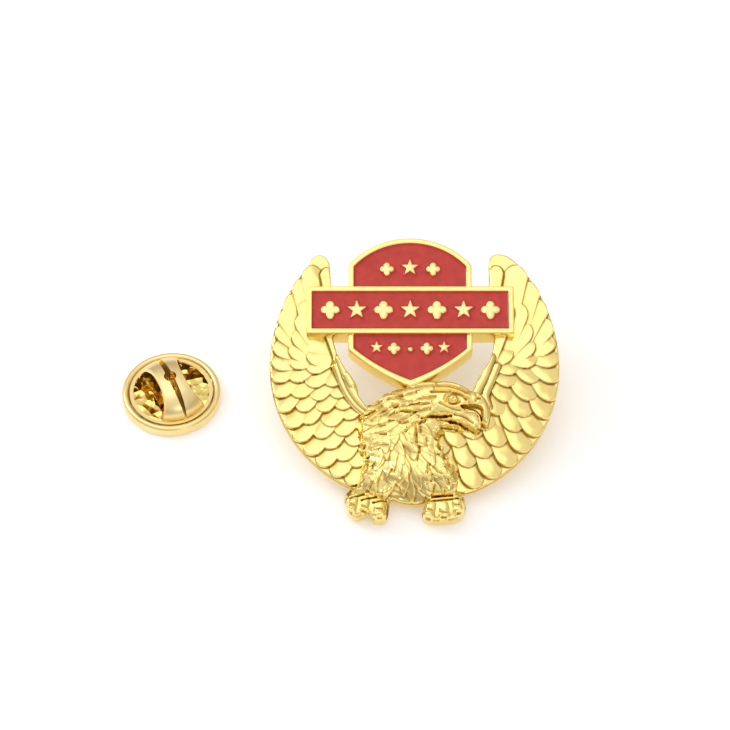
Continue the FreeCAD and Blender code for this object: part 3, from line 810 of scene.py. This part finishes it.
# Toes: root, the way from there to the tip, half width.
LEFT_TOES = (
    ((-6.6, 1.9), (-0.5, -1.7), 0.62),
    ((-5.2, 1.9), (-0.3, -1.8), 0.6),
    ((-3.6, 1.4), (0.0, -2.0), 0.8),
)
RIGHT_TOES = (
    ((2.2, 1.3), (-0.5, -1.9), 0.7),
    ((3.7, 1.3), (0.0, -2.0), 0.72),
    ((5.2, 1.9), (0.4, -1.9), 0.7),
)
# Grooves across the feet over the toes.
LEFT_SCALES = (((-6.9, 2.6), (-5.4, 3.0)), ((-5.6, 2.3), (-4.0, 2.7)), ((-4.3, 2.0), (-2.9, 2.3)))
RIGHT_SCALES = (((2.4, 2.7), (4.6, 2.9)), ((2.2, 2.2), (5.4, 2.5)))


def foot(relief, toes, scales):
    """One foot: a low back, scales across it, and rounded toes with a knuckle line and a claw's hollow."""
    middle = np.mean([root for root, _, _ in toes], axis=0)
    lump(relief, middle, (2.4, 1.9), 0, 2.45, 0.5)
    for count, ((u, v), (du, dv), half) in enumerate(toes):
        turn = math.degrees(math.atan2(dv, du))
        reach = math.hypot(du, dv)
        lump(relief, (u, v), (reach * 0.66, half), turn, 2.7, 0.7)
        lump(relief, (u + du * 0.42, v + dv * 0.42), (reach * 0.36, half * 0.95), turn, 2.8, 0.7)
        across = np.array((-dv, du)) / reach * half
        stagger = 0.16 * (count % 2)
        knuckle_line = (0.1 + stagger, 0.45, 0.09, -0.2)
        claw_hollow = (0.6 - stagger / 2, 0.22, 0.2, -0.55)
        for share, span, width, depth in (knuckle_line, claw_hollow):
            place = np.array((u + du * share, v + dv * share))
            ridge(relief, (place - across * span, place + across * span), width, depth)
    for path in scales:
        ridge(relief, path, 0.11, -0.35)


def make_eagle():
    """The eagle's body, head and feet."""
    outline = through(BODY_OUTLINE, closed=True, per=5)

    def footprint(U, V):
        ragged = 0.17 * np.sin(5.1 * U + 2.3 * V) * np.sin(4.3 * V - 2.9 * U)
        shaggy = smooth_step((10.2 - V) / 1.0) * smooth_step((V - 3.2) / 0.8)
        return inside_distance(U, V, outline) + ragged * shaggy

    relief = Relief(footprint, outline.min(0) - 0.4, outline.max(0) + 0.4, BODY_STEP)
    inward, V = relief.inward, relief.V
    torso = smooth_step((V - 2.4) / 2.6)
    shoulder = (0.25 + 0.6 * torso) * smooth_step(inward / 0.8)
    swell = 1 - (1 - np.clip(inward / 4.0, 0, 1)) ** 2
    ground = BODY_EDGE + shoulder + BODY_SWELL * torso * np.sqrt(swell)
    relief.H = ground.copy()
    for mass in THIGHS:
        lump(relief, *mass)
    relief.ripple(0.08, 2.6, SEED)
    ground = relief.H.copy()
    plumage(relief, ground)
    head(relief)
    foot(relief, LEFT_TOES, LEFT_SCALES)
    foot(relief, RIGHT_TOES, RIGHT_SCALES)
    relief.ripple(0.006, 1.0, SEED)
    relief.round_edge(0.3)
    relief.build("eagle_relief", CAST_GOLD, hollow=(0.25, 0.16))


# ---------------------------------------------------------------- crest

SHIELD_HALF = 7.2
SHIELD_DEPTH = 2.7
SHIELD_SHOULDER = 31.0
SHIELD_TOP = 34.4
SHIELD_CORNER = 20.5
SHIELD_POINT = 15.9
BANNER_HALF = 12.05
BANNER_LOW = 22.3
BANNER_HIGH = 28.2
BANNER_DEPTH = 3.1
BANNER_OVERLAP = 0.02
RIM = 0.65
RECESS = 0.7
ENAMEL_DEPTH = 0.45
STAR_WAIST = 0.42
POOL_STEP = 0.09
# How far the enamel creeps up its rims and the ornaments, and how wide that seam is.
POOL_CREEP = 0.14
POOL_SEAM = 0.16


def arc(start, middle, end, count):
    """Points on the arc through three points, without its end."""
    (ax, ay), (bx, by), (cx, cy) = start, middle, end
    d = 2 * (ax * (by - cy) + bx * (cy - ay) + cx * (ay - by))
    sa, sb, sc = ax * ax + ay * ay, bx * bx + by * by, cx * cx + cy * cy
    ox = (sa * (by - cy) + sb * (cy - ay) + sc * (ay - by)) / d
    oy = (sa * (cx - bx) + sb * (ax - cx) + sc * (bx - ax)) / d
    first = math.atan2(ay - oy, ax - ox)
    sweep = math.atan2(cy - oy, cx - ox) - first
    middle_turn = math.atan2(by - oy, bx - ox) - first
    if (middle_turn % math.tau) > (sweep % math.tau):
        sweep = sweep % math.tau - math.tau
    else:
        sweep %= math.tau
    radius = math.hypot(ax - ox, ay - oy)
    turns = [first + sweep * k / count for k in range(count)]
    return [(ox + radius * math.cos(t), oy + radius * math.sin(t)) for t in turns]


def shield(inset):
    """The shield's outline, clockwise from its left shoulder."""
    half = SHIELD_HALF - inset
    top, point = SHIELD_TOP - inset, SHIELD_POINT + inset * 1.3
    shoulder, corner = SHIELD_SHOULDER - inset * 0.3, SHIELD_CORNER + inset * 0.2
    bulge_u, bulge_v = half * 0.6, point + (corner - point) * 0.5
    made = arc((-half, shoulder), (0, top), (half, shoulder), 48)
    made += [(half, shoulder + (corner - shoulder) * k / 12) for k in range(12)]
    made += arc((half, corner), (bulge_u, bulge_v), (0, point), 24)
    made += arc((0, point), (-bulge_u, bulge_v), (-half, corner), 24)
    made += [(-half, corner + (shoulder - corner) * k / 12) for k in range(12)]
    return made


def banner(inset):
    """The banner's outline, clockwise, with slightly rounded corners."""
    half, low, high = BANNER_HALF - inset, BANNER_LOW + inset, BANNER_HIGH - inset
    soft = 0.12
    made = []
    for cu, cv, first in ((half, high, 90), (half, low, 0), (-half, low, -90), (-half, high, 180)):
        u = cu - math.copysign(soft, cu)
        v = cv - math.copysign(soft, cv - (low + high) / 2)
        for k in range(5):
            a = math.radians(first - 22.5 * k)
            made.append((u + soft * math.cos(a), v + soft * math.sin(a)))
    return made


def framed(name, outline, depth):
    """A raised frame round a recess: bevelled outside and inside, closed at the back."""
    floor = depth - RECESS
    profile = ((0, 0), (0, depth - 0.16), (0.05, depth - 0.05), (0.16, depth), (RIM - 0.14, depth),
               (RIM - 0.04, depth - 0.05), (RIM, depth - 0.15), (RIM + 0.03, floor))
    points, faces = [], []
    for inset, w in profile:
        points += [(u, v, w) for u, v in outline(inset)]
    size = len(outline(0))
    for ring in range(len(profile) - 1):
        for k in range(size):
            a, b = ring * size + k, ring * size + (k + 1) % size
            faces.append([a, b, b + size, a + size])
    faces.append(list(range(size)))
    faces.append(list(range(len(points) - size, len(points)))[::-1])
    return add_mesh(name, points, faces, CAST_GOLD, "badge", 35)


def star(radius):
    """A five pointed star's corners, from the top one on."""
    turns = [math.radians(90 + 36 * k) for k in range(10)]
    reach = [radius, radius * STAR_WAIST] * 5
    return [(r * math.cos(t), r * math.sin(t)) for r, t in zip(reach, turns)]


def flower(radius):
    """A four petalled flower's outline."""
    petal = radius / 2
    turns = [math.tau * k / 64 for k in range(64)]
    reach = [petal * (1.05 + 0.75 * abs(math.cos(2 * t)) ** 0.8) for t in turns]
    return [(r * math.cos(t), r * math.sin(t)) for r, t in zip(reach, turns)]


def dot(radius):
    """A round dot's outline."""
    turns = [math.tau * k / 24 for k in range(24)]
    return [(radius * math.cos(t), radius * math.sin(t)) for t in turns]


# Ornaments: centre u and v, radius, shape.
BANNER_SIGNS = [(k * 3.1, 25.25, 1.25, (star, flower)[k % 2]) for k in range(-3, 4)]
TOP_SIGNS = [(-2.7, 30.5, 0.95, flower), (0.0, 30.7, 1.1, star), (2.7, 30.5, 0.95, flower)]
BOTTOM_SIGNS = [(-3.9, 20.75, 0.85, star), (-1.9, 20.6, 0.85, flower), (0.0, 20.5, 0.28, dot),
                (1.9, 20.6, 0.85, flower), (3.9, 20.75, 0.85, star)]


def signs(name, places, top):
    """Raised ornaments with bevelled edges and a pip in the middle, standing on the recess floor."""
    points, faces = [], []
    for u, v, radius, shape in places:
        outline = shape(radius)
        size = len(outline)
        start = len(points)
        for scale, w in ((1.0, top - RECESS), (1.0, top - 0.12), (0.93, top - 0.03), (0.82, top)):
            points += [(u + x * scale, v + y * scale, w) for x, y in outline]
        for ring in range(3):
            for k in range(size):
                a, b = start + ring * size + k, start + ring * size + (k + 1) % size
                faces.append([a, b, b + size, a + size])
        faces.append([start + k for k in range(size)][::-1])
        points.append((u, v, top + 0.06))
        last = start + 3 * size
        for k in range(size):
            faces.append([last + k, last + (k + 1) % size, len(points) - 1])
    add_mesh(name, points, faces, ORNAMENT_GOLD, "badge", 35)


def pool(name, node, outline, places, depth, cut):
    """Enamel in one recess, drawn up a little against the rim and round each ornament.

    The banner hides part of the shield, so a shield's pool is only what lies above or below it.
    """
    line = np.array(outline(RIM + 0.01))
    low, high = line.min(0), line.max(0)
    if cut == "above":
        low = np.array((low[0], BANNER_HIGH))
    if cut == "below":
        high = np.array((high[0], BANNER_LOW))

    def footprint(U, V):
        inward = inside_distance(U, V, line)
        if cut == "above":
            return np.minimum(inward, V - BANNER_HIGH + BANNER_OVERLAP)
        if cut == "below":
            return np.minimum(inward, BANNER_LOW + BANNER_OVERLAP - V)
        return inward

    relief = Relief(footprint, low - 0.3, high + 0.3, POOL_STEP)
    near = relief.inward.copy()
    for u, v, radius, shape in places:
        where = relief.window((u, v), radius + 0.8)
        sign = np.array([(u + x, v + y) for x, y in shape(radius)])
        gap = np.abs(inside_distance(relief.U[where], relief.V[where], sign))
        near[where] = np.minimum(near[where], gap)
    floor = depth - RECESS
    creep = POOL_CREEP * np.exp(-np.clip(near, 0, None) / POOL_SEAM)
    relief.H = floor + ENAMEL_DEPTH - 0.06 + creep
    piece = relief.build(name, ENAMEL, floor=floor - 0.03)
    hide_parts(node)


def make_crest():
    """The shield, the banner across it, their ornaments and the enamel. Gives back the shield's frame."""
    shield_frame = framed("shield_frame", shield, SHIELD_DEPTH)
    framed("banner_frame", banner, BANNER_DEPTH)
    signs("banner_ornaments", BANNER_SIGNS, BANNER_DEPTH)
    signs("top_ornaments", TOP_SIGNS, SHIELD_DEPTH)
    signs("bottom_ornaments", BOTTOM_SIGNS, SHIELD_DEPTH)
    pool("banner_pool", "enamel_banner", banner, BANNER_SIGNS, BANNER_DEPTH, None)
    pool("top_pool", "enamel_top", shield, TOP_SIGNS, SHIELD_DEPTH, "above")
    pool("bottom_pool", "enamel_bottom", shield, BOTTOM_SIGNS, SHIELD_DEPTH, "below")
    return shield_frame


# ---------------------------------------------------------------- stage, light and camera


TABLE_HALF = 1.5
LENS = 150.0
SENSOR = 36.0
ELEVATION = 52
# Metres across the picture at the point the camera aims at.
VIEW_WIDTH = 0.0847
# That point: how far it lies from the middle of the CAD's box along X and Y, and its height.
AIM = (0.00297, 0.00185)
AIM_HEIGHT = 0.00658
# The room's colours, from the nadir to the zenith.
ROOM = (
    (0.0, (0.42, 0.40, 0.38)),
    (0.30, (0.46, 0.44, 0.41)),
    (0.62, (0.80, 0.79, 0.78)),
    (0.85, (0.84, 0.83, 0.82)),
)


def make_stage():
    """A plain white table, which glows faintly so that it reads as an overexposed sweep."""
    corners = [(u * TABLE_HALF, v * TABLE_HALF, 0) for u, v in ((-1, -1), (1, -1), (1, 1), (-1, 1))]
    mesh = bpy.data.meshes.new("table")
    mesh.from_pydata(corners, [], [(0, 1, 2, 3)])
    material, tree, shader = new_material("table_white")
    shader.inputs["Base Color"].default_value = (0.93, 0.92, 0.93, 1)
    shader.inputs["Roughness"].default_value = 0.7
    shader.inputs["Emission Color"].default_value = (1.0, 0.985, 0.97, 1)
    shader.inputs["Emission Strength"].default_value = 0.22
    mesh.materials.append(material)
    table = bpy.data.objects.new("table", mesh)
    bpy.context.scene.collection.objects.link(table)


def softbox(name, place, size, power):
    """A square area light that faces the row's middle."""
    light = bpy.data.lights.new(name, "AREA")
    light.size = size
    light.energy = power
    box = bpy.data.objects.new(name, light)
    box.location = place
    box.rotation_euler = (-Vector(place)).to_track_quat("-Z", "Y").to_euler()
    bpy.context.scene.collection.objects.link(box)


def make_light():
    """A big softbox overhead, smaller ones from the far left and the near right, and a pale room."""
    world = bpy.data.worlds.new("room")
    world.use_nodes = True
    tree = world.node_tree
    place = tree.nodes.new("ShaderNodeTexCoord")
    split = tree.nodes.new("ShaderNodeSeparateXYZ")
    tree.links.new(place.outputs["Generated"], split.inputs[0])
    sky = ramp(tree, split.outputs["Z"], ROOM)
    tree.links.new(sky, tree.nodes["Background"].inputs["Color"])
    tree.nodes["Background"].inputs["Strength"].default_value = 1.0
    bpy.context.scene.world = world
    softbox("overhead", (-0.05, 0.04, 0.5), 0.42, 0.36)
    softbox("key", (-0.34, 0.16, 0.30), 0.16, 0.42)
    softbox("front", (0.20, -0.42, 0.24), 0.14, 0.16)


def make_camera():
    """A long lens at the photograph's elevation, looking along +Y."""
    elevation = math.radians(ELEVATION)
    away = VIEW_WIDTH * LENS / SENSOR
    low, high = Vector(CAD_BOX[0]), Vector(CAD_BOX[1])
    aim = Vector(((low.x + high.x) / 2 + AIM[0], (low.y + high.y) / 2 + AIM[1], AIM_HEIGHT))
    data = bpy.data.cameras.new("camera")
    data.lens = LENS
    data.sensor_width = SENSOR
    camera = bpy.data.objects.new("camera", data)
    camera.location = aim + away * Vector((0, -math.cos(elevation), math.sin(elevation)))
    camera.rotation_euler = (aim - camera.location).to_track_quat("-Z", "Y").to_euler()
    bpy.context.scene.collection.objects.link(camera)
    bpy.context.scene.camera = camera


# The look of each CAD piece that stays in view.
NODE_LOOKS = {
    "nail_post": POST_GOLD,
    "solder_collar": SOLDER_GOLD,
    "clutch_cup": CUP_GOLD,
    "spring_plate": SATIN_GOLD,
    "left_squeeze_wing": WING_GOLD,
    "right_squeeze_wing": WING_GOLD,
    "left_jaw": BRIGHT_GOLD,
    "right_jaw": BRIGHT_GOLD,
}


def finish_nodes():
    """Gives the CAD pieces that stay in view their materials."""
    for node, material in NODE_LOOKS.items():
        for slot in frame["nodes"][node].material_slots:
            slot.material = material


make_camera()
make_light()
make_stage()
shield_frame = make_crest()
make_wings()
make_eagle()
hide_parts("badge_casting")
finish_nodes()
bpy.context.scene.view_settings.view_transform = "Standard"
